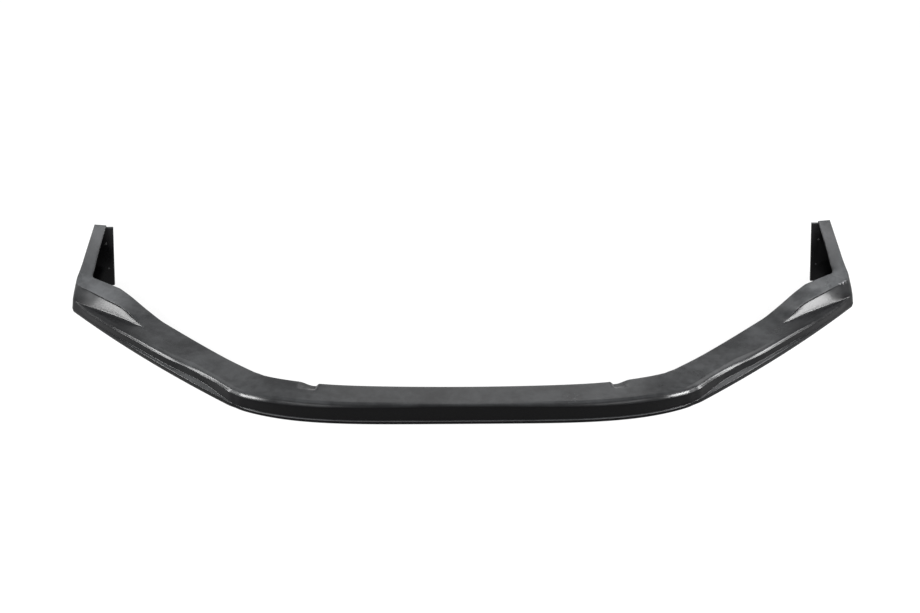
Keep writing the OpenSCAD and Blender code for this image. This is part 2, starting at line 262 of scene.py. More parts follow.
def squarePoint(s):
    return frontEdge(s) + squareIn(s) * curve(rearDepths, s)


shelfEndAt, roundStartAt, roundEndAt, bandStartAt = ramp(0.29), arm(0), arm(0.2), arm(0.47)
innerCorner = cornerPoint + (-sh["innerCornerIn"], sh["innerCornerBack"])
shelfEnd, bandStart = squarePoint(shelfEndAt), squarePoint(bandStartAt)
roundStart = innerCorner + unit(shelfEnd - innerCorner) * sh["innerCornerRadius"]
roundEnd = innerCorner + unit(bandStart - innerCorner) * sh["innerCornerRadius"]


def rearEdge(s):
    if s <= shelfEndAt or s >= bandStartAt:
        return squarePoint(s)
    if s <= roundStartAt:
        return mix(shelfEnd, roundStart, (s - shelfEndAt) / (roundStartAt - shelfEndAt))
    if s >= roundEndAt:
        return mix(roundEnd, bandStart, (s - roundEndAt) / (bandStartAt - roundEndAt))
    f = (s - roundStartAt) / (roundEndAt - roundStartAt)
    return mix(mix(roundStart, innerCorner, f), mix(innerCorner, roundEnd, f), f)


def pocketSink(s):
    f = (abs(frontEdge(s)[0]) - pocket["start"]) / pocket["length"]
    if s > kneeAt or f <= 0 or f >= 1:
        return 0.0
    easeOut = ease((f - pocket["easeFrom"]) / (1 - pocket["easeFrom"]))
    return pocket["drop"] * ease(f / pocket["steepEnd"]) * (1 - easeOut)


# How the corners of the section are laid out between the knots above
section = dict(
    sharpest=0.35, skinPower=1.4, plainRadius=30.0,
    rollStart=6.0, rollPerRadius=1.5, rollMost=0.6,
    fullRise=15.0, crestStep=0.4, leastRecess=0.02,
    toeLedge=0.5, leastLedge=0.3, ledgeFall=0.16,
    pocketInMost=0.62, pocketFloorMost=0.3, innerBrowDrop=0.14,
    # the last entries set edge rubbing, and how far the lip top's painted highlight line dims along the sides
    room=0.45, leastCut=0.4, straightHandle=0.66, arcEndRub=0.4, sideLipHighlight=0.1,
)


def inset(a, p, c):
    # inner point of an even wall at corner p, held back where the corner is very sharp
    d1, d2 = unit(p - a), unit(c - p)
    n1, n2 = np.array([d1[1], -d1[0]]), np.array([d2[1], -d2[0]])
    return p + b["wall"] * (n1 + n2) / max(section["sharpest"], 1 + float(n1 @ n2))


# Radius of each corner of the section, steps round it, steps after it, and how worn its edge gets; on the lip
# top and the pocket edge that value draws a painted highlight line
cornerFinish = dict(
    flange=(0.6, 2, 2, 0.2), foot=(1.0, 2, 1, 0.5), lipTop=(1.4, 3, 2, 1.4), toe=(1.0, 3, 4, 0.0),
    brow=(0.0, 10, 1, 0.0), rollOff=(14.0, 4, 3, 0.0), leafFoot=(8.0, 5, 2, 0.0), leafMiddle=(0.0, 0, 2, 0.0),
    leafBase=(0.5, 2, 1, 0.0), leafTop=(0.8, 3, 3, 0.35),
    pocketEdge=(2.5, 2, 1, 1.6), pocketFloor=(2.0, 2, 2, 0.1), rear=(1.3, 3, 1, 1.0),
    inside=(1.5, 1, 2, 0.0),
)


def sectionCorners(s):
    # w goes from 0 along the blade to 1 on the arms, where the facets melt into one skin
    w = ease((s - ramp(0.24)) / (arm(0.09) - ramp(0.24)))
    q = section
    browH = curve(browHeights, s)
    toe = np.array([curve(toeDepths, s), curve(toeHeights, s)])
    r = min(curve(edgeRadii, s), browH - toe[1] - b["wall"])
    faceU, footZ = curve(faceDepths, s), curve(footHeights, s)
    leaf = np.array([curve(leafDepths, s), curve(leafHeights, s)])
    rear = np.array([float(np.linalg.norm(rearEdge(s) - frontEdge(s))), curve(rearHeights, s)])

    if s > arm(0):
        inward = unit(rearEdge(s) - frontEdge(s))
        leaf[1] = curve(armLeafHeights, (frontEdge(s) + inward * leaf[0])[1])
        rear[1] = curve(armRearHeights, rearEdge(s)[1])

    def skin(z):
        return toe[0] + (leaf[0] - toe[0]) * clamp((z - toe[1]) / (leaf[1] - toe[1])) ** q["skinPower"]

    def settle(u, z):
        return np.array([mix(u, skin(z), w), z])

    foot = settle(curve(footDepths, s), footZ)
    rollAt = min(q["rollMost"], (q["rollPerRadius"] * r + q["rollStart"]) / max(1.0, foot[0] - faceU))
    rollOff = mix(settle(faceU, browH), foot, rollAt)
    brow = settle(faceU, browH - b["browRoll"] * ease(s / nose(0.8)) * (1 - w))
    rise = clamp((leaf[1] - footZ) / q["fullRise"])
    leafBase = leaf - (q["crestStep"], max(q["leastRecess"], sh["recess"] * rise * (1 - w)))
    hollow = sh["leafHollow"] * rise * (1 - w)
    middle = settle(*(mix(foot, leafBase, 0.5) + (hollow, -hollow)))
    ledge = max(q["leastLedge"], toe[0] - q["toeLedge"])
    lipTop = np.array([toe[0] - ledge, toe[1] - q["ledgeFall"] * ledge])
    depth = rear[0] - leaf[0]
    sink = np.array([0.0, -pocketSink(s)])
    pocketIn = min(pocket["width"], q["pocketInMost"] * depth) / depth
    pocketOut = min(pocket["floorShare"] * pocket["width"], q["pocketFloorMost"] * depth) / depth
    outer = [
        ("flange", np.array([b["returnDepth"], 0.0])), ("foot", np.array([0.0, 0.0])),
        ("lipTop", lipTop), ("toe", toe), ("brow", brow), ("rollOff", rollOff),
        ("leafFoot", foot), ("leafMiddle", middle), ("leafBase", leafBase), ("leafTop", leaf),
        ("pocketEdge", mix(leaf, rear, 1 - pocketIn)),
        ("pocketFloor", mix(leaf, rear, 1 - pocketOut) + sink), ("rear", rear + sink)]
    faceMiddle = mix(toe, settle(faceU, browH - r), 0.5)
    innerBrow = settle(faceU + 0.5 * r, browH - q["innerBrowDrop"] * r)
    path = [outer[0][1], outer[1][1], faceMiddle, innerBrow, foot, leaf, outer[-3][1], outer[-1][1]]
    inner = [outer[-1][1] - (0, b["wall"])]
    inner += [inset(path[k - 1], path[k], path[k + 1]) for k in range(len(path) - 2, 0, -1)]
    inner += [np.array([b["returnDepth"], b["wall"]])]
    # the lip top's and the pocket edge's values draw painted highlight lines
    wornAndHighlit = {"leafTop": rise, "pocketEdge": -sink[1] / pocket["drop"],
            "lipTop": mix(1.0, q["sideLipHighlight"], ease((s - nose(0.9)) / (side(0.15) - nose(0.9))))}
    radii = {"brow": mix(r, q["plainRadius"], w),
             "leafFoot": mix(cornerFinish["leafFoot"][0], q["plainRadius"], w)}
    return outer + [("inside", p) for p in inner], radii, wornAndHighlit


def sectionPoints(s):
    corners, radii, wornAndHighlit = sectionCorners(s)
    roundness = mix(1.0, blade["browRoundness"], ease(s / nose(0.8)))
    count = len(corners)
    points, rubAndHighlight, ends = [], [], []
    for i, (name, p) in enumerate(corners):
        radius, arcSteps, spanSteps, wearAndHighlight = cornerFinish[name]
        radius = radii.get(name, radius)
        wearAndHighlight *= wornAndHighlit.get(name, 1.0)
        before, after = corners[i - 1][1], corners[(i + 1) % count][1]
        d1, d2 = unit(p - before), unit(after - p)
        if arcSteps == 0:
            ends.append(([p], spanSteps, wearAndHighlight))
            continue
        turn = math.acos(max(-1.0, min(1.0, float(d1 @ d2))))
        room = section["room"] * min(np.linalg.norm(p - before), np.linalg.norm(after - p))
        cut = min(max(radius * math.tan(turn / 2), section["leastCut"]), room)
        handle = cut * section["straightHandle"]
        if turn > 1e-3:
            handle = cut * (4 / 3) * math.tan(turn / 4) / max(math.tan(turn / 2), 1e-6)
        if name == "brow":
            handle *= roundness
        p0, p3 = p - d1 * cut, p + d2 * cut
        p1, p2 = p0 + d1 * handle, p3 - d2 * handle
        arc = []
        for k in range(arcSteps + 1):
            t = k / arcSteps
            arc.append((1 - t)**3 * p0 + 3 * t * (1 - t)**2 * p1 + 3 * t * t * (1 - t) * p2 + t**3 * p3)
        ends.append((arc, spanSteps, wearAndHighlight))
    for i, (arc, spanSteps, wearAndHighlight) in enumerate(ends):
        raw = 1.0 if corners[i][0] == "inside" else 0.0
        for k, p in enumerate(arc):
            points.append(p)
            inside = 0 < k < len(arc) - 1 or len(arc) < 3
            rubAndHighlight.append((wearAndHighlight if inside else wearAndHighlight * section["arcEndRub"], raw))
        start, stop = arc[-1], ends[(i + 1) % count][0][0]
        for k in range(1, spanSteps):
            points.append(mix(start, stop, k / spanSteps))
            rubAndHighlight.append((0.0, raw))
    return points, rubAndHighlight


# Millimetres from one section to the next, and where they lie closer: round the corner,
# at the pocket's steep end and at the leaf's tip; seamGap alone is in metres
loft = dict(step=4.2, tipStep=2.52, fineStep=1.7, cornerReach=25.0, cornerTo=0.42, tip=(0.92, 0.5),
            pocketReach=(3.0, 10.0), seamGap=0.00002)


def stationList():
    stations, s = [], 0.0
    pocketStart = nose(pocket["start"] / plan["noseHalf"])
    while s < endAt - 0.5 * loft["fineStep"]:
        stations.append(s)
        nearCorner = cornerAt - loft["cornerReach"] < s < arm(loft["cornerTo"])
        nearPocket = pocketStart - loft["pocketReach"][0] < s < pocketStart + loft["pocketReach"][1]
        nearTip = ramp(loft["tip"][0]) < s < ramp(loft["tip"][1])
        if nearCorner or nearPocket:
            s += loft["fineStep"]
        elif nearTip:
            s += loft["tipStep"]
        else:
            s += loft["step"]
    return stations + [endAt]


def railPoints():
    half, rubsAndHighlights = [], []
    stations = stationList()
    for s in stations:
        p, r = frontEdge(s), rearEdge(s)
        n = unit(r - p)
        line, rubAndHighlight = sectionPoints(s)
        half.append([(p[0] + n[0] * u, p[1] + n[1] * u, z) for u, z in line])
        rubsAndHighlights.append(rubAndHighlight)
    half, rubsAndHighlights = np.array(half), np.array(rubsAndHighlights)
    whole = np.concatenate([half[:0:-1] * (-1, 1, 1), half])
    wearAndHighlight = np.concatenate([rubsAndHighlights[:0:-1], rubsAndHighlights])
    whole = (whole - (0, plan["endSetback"] / 2, 0)) / 1000
    low, high = np.array(cadBox[0]), np.array(cadBox[1])
    return np.clip(whole, low, high), wearAndHighlight


def makeRails(name, points, wearAndHighlight):
    # one poly spline along the lip for every point of the section; radius carries wear and painted highlight
    # lines, tilt the raw side
    data = bpy.data.curves.new(name, "CURVE")
    data.dimensions = "3D"
    sections, rails, _ = points.shape
    for k in range(rails):
        spline = data.splines.new("POLY")
        spline.points.add(sections - 1)
        spline.points.foreach_set("co", np.c_[points[:, k], np.ones(sections)].astype(np.float32).ravel())
        spline.points.foreach_set("radius", wearAndHighlight[:, k, 0].astype(np.float32))
        spline.points.foreach_set("tilt", wearAndHighlight[:, k, 1].astype(np.float32))
    rail = bpy.data.objects.new(name, data)
    bpy.context.scene.collection.objects.link(rail)
    return rail, sections, rails


def loftTree():
    # skins a closed section over its rails: sections along, rails around
    tree = bpy.data.node_groups.new("loftOverRails", "GeometryNodeTree")
    face = tree.interface
    face.new_socket("Rails", in_out="INPUT", socket_type="NodeSocketGeometry")
    face.new_socket("Sections", in_out="INPUT", socket_type="NodeSocketInt")
    face.new_socket("Rail Count", in_out="INPUT", socket_type="NodeSocketInt")
    face.new_socket("Seam Gap", in_out="INPUT", socket_type="NodeSocketFloat")
    face.new_socket("Finish", in_out="INPUT", socket_type="NodeSocketMaterial")
    face.new_socket("Skin", in_out="OUTPUT", socket_type="NodeSocketGeometry")
    new, link = tree.nodes.new, tree.links.new

    def math2(operation, first, second):
        node = new("ShaderNodeMath")
        node.operation = operation
        for socket, value in zip(node.inputs, (first, second)):
            if isinstance(value, (int, float)):
                socket.default_value = value
            else:
                link(value, socket)
        return node.outputs[0]

    given = new("NodeGroupInput").outputs
    around = math2("ADD", given["Rail Count"], 1)
    grid = new("GeometryNodeMeshGrid")
    link(given["Sections"], grid.inputs["Vertices X"])
    link(around, grid.inputs["Vertices Y"])
    index = new("GeometryNodeInputIndex").outputs[0]
    row = math2("FLOOR", math2("DIVIDE", math2("ADD", index, 0.5), around), 0)
    column = math2("SUBTRACT", index, math2("MULTIPLY", row, around))
    rail = math2("MODULO", column, given["Rail Count"])
    pointIndex = math2("ADD", math2("MULTIPLY", rail, given["Sections"]), row)

    def onRail(field, kind):
        node = new("GeometryNodeSampleIndex")
        node.data_type = kind
        link(given["Rails"], node.inputs["Geometry"])
        link(new(field).outputs[0], node.inputs["Value"])
        link(pointIndex, node.inputs["Index"])
        return node.outputs[0]

    put = new("GeometryNodeSetPosition")
    link(grid.outputs["Mesh"], put.inputs["Geometry"])
    link(onRail("GeometryNodeInputPosition", "FLOAT_VECTOR"), put.inputs["Position"])
    skin = put.outputs[0]
    # edge wear with painted highlight lines, and the raw side, carried onto the skin
    for name, field in (("edgeRubAndHighlight", "GeometryNodeInputRadius"), ("rawSide", "GeometryNodeInputCurveTilt")):
        store = new("GeometryNodeStoreNamedAttribute")
        store.data_type = "FLOAT"
        store.domain = "POINT"
        store.inputs["Name"].default_value = name
        link(skin, store.inputs["Geometry"])
        link(onRail(field, "FLOAT"), store.inputs["Value"])
        skin = store.outputs[0]
    weld = new("GeometryNodeMergeByDistance")
    link(skin, weld.inputs["Geometry"])
    link(given["Seam Gap"], weld.inputs["Distance"])
    smooth = new("GeometryNodeSetShadeSmooth")
    link(weld.outputs[0], smooth.inputs["Geometry"])
    realize = new("GeometryNodeRealizeInstances")
    link(smooth.outputs[0], realize.inputs[0])
    finish = new("GeometryNodeSetMaterial")
    link(realize.outputs[0], finish.inputs["Geometry"])
    link(given["Finish"], finish.inputs["Material"])
    link(finish.outputs[0], new("NodeGroupOutput").inputs[0])
    return tree


def makePlain(obj, name):
    # the evaluated result as a plain mesh object
    graph = bpy.context.evaluated_depsgraph_get()
    mesh = bpy.data.meshes.new_from_object(obj.evaluated_get(graph))
    mesh.name = name
    plain = bpy.data.objects.new(name, mesh)
    bpy.context.scene.collection.objects.link(plain)
    return plain


def makeShell(finish):
    points, wearAndHighlight = railPoints()
    rails, sections, count = makeRails("lipRails", points, wearAndHighlight)
    tree = loftTree()
    modifier = rails.modifiers.new("loft", "NODES")
    modifier.node_group = tree
    values = {"Sections": sections, "Rail Count": count, "Seam Gap": loft["seamGap"], "Finish": finish}
    for item in tree.interface.items_tree:
        if item.in_out == "INPUT" and item.name in values:
            modifier[item.identifier] = values[item.name]
    shell = makePlain(rails, "splitterLip")
    bpy.data.objects.remove(rails)
    mesh = bmesh.new()
    mesh.from_mesh(shell.data)
    rims = [e for e in mesh.edges if e.is_boundary]
    caps = bmesh.ops.holes_fill(mesh, edges=rims, sides=0)["faces"]
    bmesh.ops.triangulate(mesh, faces=caps)
    bmesh.ops.recalc_face_normals(mesh, faces=mesh.faces)
    mesh.to_mesh(shell.data)
    mesh.free()
    print("shell", sections, "sections,", count, "rails,", len(shell.data.polygons), "faces")
    return shell


# The wall that closes each arm, with its two screw holes
endWall = dict(
    thick=7.0, inset=2.0, topWidth=70.0, footWidth=58.0, drop=7.0, lift=4.0, outlineSteps=12,
    edge=0.9, edgeSteps=2, sharpAngle=1.0, flatAngle=0.01, rimRub=1.6, rimReach=0.1, rawSide=0.8,
    screwD=4.2, screwEdge=14.0, screwLow=48.0, screwHigh=111.0, screwSides=32,
)


def makeEndWall(name, sign):
    w = endWall
    back = plan["endSetback"] - w["inset"]
    middle = back - w["thick"] / 2
    top = sh["endHeight"] - w["drop"]
    spread = (plan["cornerHalf"] - plan["endHalf"]) / (plan["endSetback"] - plan["cornerSetback"])
    lineX = plan["endHalf"] + (plan["endSetback"] - middle) * spread

    def innerX(z):
        return plan["endHalf"] - mix(w["footWidth"], w["topWidth"], z / top)

    def outerX(z):
        return lineX - sh["endLean"] * (z / sh["endHeight"]) ** section["skinPower"] - b["wall"] / 2

    outline = [(innerX(w["lift"]), w["lift"])]
    outline += [(outerX(z), z) for z in np.linspace(w["lift"], top, w["outlineSteps"])]
    outline += [(innerX(top), top)]
    screwX = innerX((w["screwLow"] + w["screwHigh"]) / 2) + w["screwEdge"]
    loops = [outline]
    for z in (w["screwLow"], w["screwHigh"]):
        turnsRound = [2 * math.pi * k / w["screwSides"] for k in range(w["screwSides"])]
        loops.append([(screwX + w["screwD"] / 2 * math.cos(a), z + w["screwD"] / 2 * math.sin(a))
                      for a in turnsRound])
    mesh = bmesh.new()
    edges = []
    for line in loops:
        corners = [mesh.verts.new((sign * x, back, z)) for x, z in line]
        edges += [mesh.edges.new((corners[k], corners[(k + 1) % len(corners)])) for k in range(len(corners))]
    plate = bmesh.ops.triangle_fill(mesh, use_beauty=True, edges=edges)["geom"]
    faces = [g for g in plate if isinstance(g, bmesh.types.BMFace)]
    grown = bmesh.ops.extrude_face_region(mesh, geom=faces)["geom"]
    bmesh.ops.translate(mesh, vec=(0, -w["thick"], 0),
                        verts=[g for g in grown if isinstance(g, bmesh.types.BMVert)])
    for v in mesh.verts:
        v.co = Vector((v.co.x, v.co.y - plan["endSetback"] / 2, v.co.z)) / 1000
    bmesh.ops.recalc_face_normals(mesh, faces=mesh.faces)
    bmesh.ops.dissolve_limit(mesh, angle_limit=w["flatAngle"], verts=mesh.verts, edges=mesh.edges)
    sharp = [e for e in mesh.edges if e.is_manifold and e.calc_face_angle(0) > w["sharpAngle"]
             and all(abs(abs(v.co.x) * 1000 - screwX) > w["screwD"] for v in e.verts)]
    bmesh.ops.bevel(mesh, geom=sharp, offset=w["edge"] / 1000, segments=w["edgeSteps"], profile=0.5,
                    affect="EDGES")
    bmesh.ops.triangulate(mesh, faces=mesh.faces)
    data = bpy.data.meshes.new(name)
    mesh.to_mesh(data)
    mesh.free()
    rimFrom = top - w["edge"] - w["rimReach"]
    rimRub = [w["rimRub"] if v.co.z * 1000 > rimFrom else 0.0 for v in data.vertices]
    for label, values in (("edgeRubAndHighlight", rimRub), ("rawSide", [w["rawSide"]] * len(rimRub))):
        field = data.attributes.new(label, "FLOAT", "POINT")
        field.data.foreach_set("value", values)
    wall = bpy.data.objects.new(name, data)
    bpy.context.scene.collection.objects.link(wall)
    return wall


def joinWalls(shell, walls):
    # the walls are one moulding with the shell, so they are fused and not laid over it
    for wall in walls:
        fuse = shell.modifiers.new("fuse", "BOOLEAN")
        fuse.operation = "UNION"
        fuse.solver = "EXACT"
        fuse.object = wall
    whole = makePlain(shell, "splitterLipWhole")
    bpy.data.objects.remove(shell)
    for wall in walls:
        bpy.data.objects.remove(wall)
    whole.name = "splitterLip"
    return whole


def shaderNode(tree, kind, **values):
    node = tree.nodes.new(kind)
    for name, value in values.items():
        node.inputs[name].default_value = value
    return node


def group(name, inputs, outputs):
    tree = bpy.data.node_groups.new(name, "ShaderNodeTree")
    for label, kind, value in inputs:
        socket = tree.interface.new_socket(label, in_out="INPUT", socket_type=kind)
        if value is not None:
            socket.default_value = value
    for label, kind in outputs:
        tree.interface.new_socket(label, in_out="OUTPUT", socket_type=kind)
    return tree, tree.nodes.new("NodeGroupInput").outputs, tree.nodes.new("NodeGroupOutput").inputs


def calc(tree, operation, first, second=0.0, third=None):
    node = tree.nodes.new("ShaderNodeMath")
    node.operation = operation
    for socket, value in zip(node.inputs, (first, second, third)):
        if isinstance(value, (int, float)):
            socket.default_value = value
        elif value is not None:
            tree.links.new(value, socket)
    return node.outputs[0]


def band(tree, value, low, high, toLow=0.0, toHigh=1.0):
    # smooth step from low to high
    node = tree.nodes.new("ShaderNodeMapRange")
    node.interpolation_type = "SMOOTHSTEP"
    tree.links.new(value, node.inputs["Value"])
    for name, number in (("From Min", low), ("From Max", high), ("To Min", toLow), ("To Max", toHigh)):
        if isinstance(number, (int, float)):
            node.inputs[name].default_value = number
        else:
            tree.links.new(number, node.inputs[name])
    return node.outputs["Result"]


def noise(tree, vector, scale, detail, roughness, distortion=0.0):
    node = shaderNode(tree, "ShaderNodeTexNoise", Detail=detail, Roughness=roughness, Distortion=distortion)
    if isinstance(scale, (int, float)):
        node.inputs["Scale"].default_value = scale
    else:
        tree.links.new(scale, node.inputs["Scale"])
    tree.links.new(vector, node.inputs["Vector"])
    return node.outputs["Fac"]


speckleScale = 240.0
# dust patches and painted top light; upPower sets how fast the painted light grows as the surface turns up
dustAndTopLightBand = dict(upPower=1.6, finer=6.0, broadShare=0.75, smallShare=0.45, low=0.42, high=0.8)
# edge rubbing, whose steady part draws painted highlight lines
rubAndHighlightBand = dict(longScale=14.0, level=0.96, perAmount=0.4, width=0.08, roughShare=0.6, longShare=0.5,
               steadyShare=0.6)
scuffBand = dict(core=0.25, level=0.75, perAmount=0.35, width=0.05)


def grainGroup():
    # satin mould grain with a faint long wave under it
    tree, given, put = group("mouldGrain", [
        ("Vector", "NodeSocketVector", None), ("Fine Scale", "NodeSocketFloat", 900.0),
        ("Wave Scale", "NodeSocketFloat", 22.0), ("Wave", "NodeSocketFloat", 0.5)],
        [("Height", "NodeSocketFloat"), ("Speckle", "NodeSocketFloat")])
    fine = noise(tree, given["Vector"], given["Fine Scale"], 2.0, 0.6)
    wave = noise(tree, given["Vector"], given["Wave Scale"], 1.0, 0.4)
    tree.links.new(calc(tree, "MULTIPLY_ADD", wave, given["Wave"], fine), put["Height"])
    tree.links.new(noise(tree, given["Vector"], speckleScale, 3.0, 0.7), put["Speckle"])
    return tree


def dustAndTopLightGroup():
    # dull dusty patches over a painted top light, which lightens the colour the more the surface faces up
    tree, given, put = group("dustAndPaintedTopLight", [
        ("Vector", "NodeSocketVector", None), ("Normal", "NodeSocketVector", None),
        ("Patch Scale", "NodeSocketFloat", 9.0), ("Patchiness", "NodeSocketFloat", 0.85)],
        [("DustAndTopLight", "NodeSocketFloat"), ("Patches", "NodeSocketFloat")])
    split = tree.nodes.new("ShaderNodeSeparateXYZ")
    tree.links.new(given["Normal"], split.inputs[0])
    # painted top light: lighter the more the surface faces up
    up = calc(tree, "POWER", calc(tree, "MAXIMUM", split.outputs["Z"], 0.0), dustAndTopLightBand["upPower"])
    broad = noise(tree, given["Vector"], given["Patch Scale"], 3.0, 0.55, 0.6)
    finer = calc(tree, "MULTIPLY", given["Patch Scale"], dustAndTopLightBand["finer"])
    small = noise(tree, given["Vector"], finer, 4.0, 0.65, 0.3)
    cloud = calc(tree, "MULTIPLY_ADD", small, dustAndTopLightBand["smallShare"],
                 calc(tree, "MULTIPLY", broad, dustAndTopLightBand["broadShare"]))
    patches = band(tree, cloud, dustAndTopLightBand["low"], dustAndTopLightBand["high"])
    swing = calc(tree, "MULTIPLY", calc(tree, "SUBTRACT", patches, 0.5), given["Patchiness"])
    tree.links.new(calc(tree, "MULTIPLY", up, calc(tree, "ADD", swing, 1.0)), put["DustAndTopLight"])
    tree.links.new(patches, put["Patches"])
    return tree


def rubAndHighlightGroup():
    # broken pale rubbing along edges, steady where the edge value passes 1; on the lip top and pocket edge
    # that steady line is a painted highlight
    tree, given, put = group("edgeRubbingAndHighlight", [
        ("Vector", "NodeSocketVector", None), ("Edge", "NodeSocketFloat", 0.0),
        ("Break Scale", "NodeSocketFloat", 160.0), ("Amount", "NodeSocketFloat", 0.5)],
        [("Mask", "NodeSocketFloat")])
    rough = noise(tree, given["Vector"], given["Break Scale"], 4.0, 0.7)
    long = noise(tree, given["Vector"], rubAndHighlightBand["longScale"], 2.0, 0.5)
    level = calc(tree, "SUBTRACT", rubAndHighlightBand["level"],
                 calc(tree, "MULTIPLY", given["Amount"], rubAndHighlightBand["perAmount"]))
    both = calc(tree, "MULTIPLY_ADD", rough, rubAndHighlightBand["roughShare"],
                calc(tree, "MULTIPLY", long, rubAndHighlightBand["longShare"]))
    broken = calc(tree, "MULTIPLY", band(tree, both, level, calc(tree, "ADD", level, rubAndHighlightBand["width"])),
                  calc(tree, "MINIMUM", given["Edge"], 1.0))
    steady = calc(tree, "MAXIMUM", calc(tree, "SUBTRACT", given["Edge"], 1.0), 0.0)
    tree.links.new(calc(tree, "MULTIPLY_ADD", steady, rubAndHighlightBand["steadyShare"], broken), put["Mask"])
    return tree


def scuffGroup():
    # one scuffed spot: chipped specks inside a soft ball
    tree, given, put = group("scuffedSpot", [
        ("Vector", "NodeSocketVector", None), ("Spot", "NodeSocketVector", None),
        ("Reach", "NodeSocketFloat", 0.02), ("Speck Scale", "NodeSocketFloat", 300.0),
        ("Amount", "NodeSocketFloat", 0.5)],
        [("Mask", "NodeSocketFloat")])
    away = tree.nodes.new("ShaderNodeVectorMath")
    away.operation = "DISTANCE"
    tree.links.new(given["Vector"], away.inputs[0])
    tree.links.new(given["Spot"], away.inputs[1])
    near = band(tree, calc(tree, "DIVIDE", away.outputs["Value"], given["Reach"]), 1.0, scuffBand["core"])
    specks = noise(tree, given["Vector"], given["Speck Scale"], 3.0, 0.7)
    level = calc(tree, "SUBTRACT", scuffBand["level"],
                 calc(tree, "MULTIPLY", given["Amount"], scuffBand["perAmount"]))
    chips = band(tree, specks, level, calc(tree, "ADD", level, scuffBand["width"]))
    tree.links.new(calc(tree, "MULTIPLY", near, chips), put["Mask"])
    return tree


# Object coordinates and reaches in metres; scuffs are spot, reach and amount
satin = dict(
    # dusted is the colour of dust and of painted light on up-facing tops and shoulders
    # rubbed is the colour of pale edge wear and scuffs, and of the painted highlight lines
    black=(0.0015, 0.0015, 0.0017), dustedAndLit=(0.0145, 0.0150, 0.0157), rubbedAndHighlight=(0.16, 0.16, 0.165),
    gloss=0.085, bump=0.000028, bumpStrength=0.5, speckle=0.2, cleanerRaw=0.7,
    roughness=0.17, rawRoughness=0.5, patchRoughness=0.06, wornRoughness=0.3,
    # painted shade on the strip under the leaf: how far across, how high, and how much darker
    shadeUnderLeafX=(0.62, 0.76), shadeUnderLeafZ=(0.037, 0.031), shadeUnderLeaf=0.75,
    # painted light on the up-facing shoulders and arms near the ends, over the dust
    endLightX=(0.64, 0.78), endLightZ=(0.036, 0.055), endLight=1.0,
    endRoughX=(0.765, 0.85), endRough=0.2,
    scuffs=[((0.8304, 0.1611, 0.0605), 0.005, 0.5), ((0.8374, 0.164, 0.0626), 0.006, 0.6),
            ((0.8434, 0.167, 0.0645), 0.005, 0.6), ((0.858, 0.15, 0.07), 0.02, 0.35),
            ((0.213, -0.262, 0.044), 0.022, 0.35)],
)


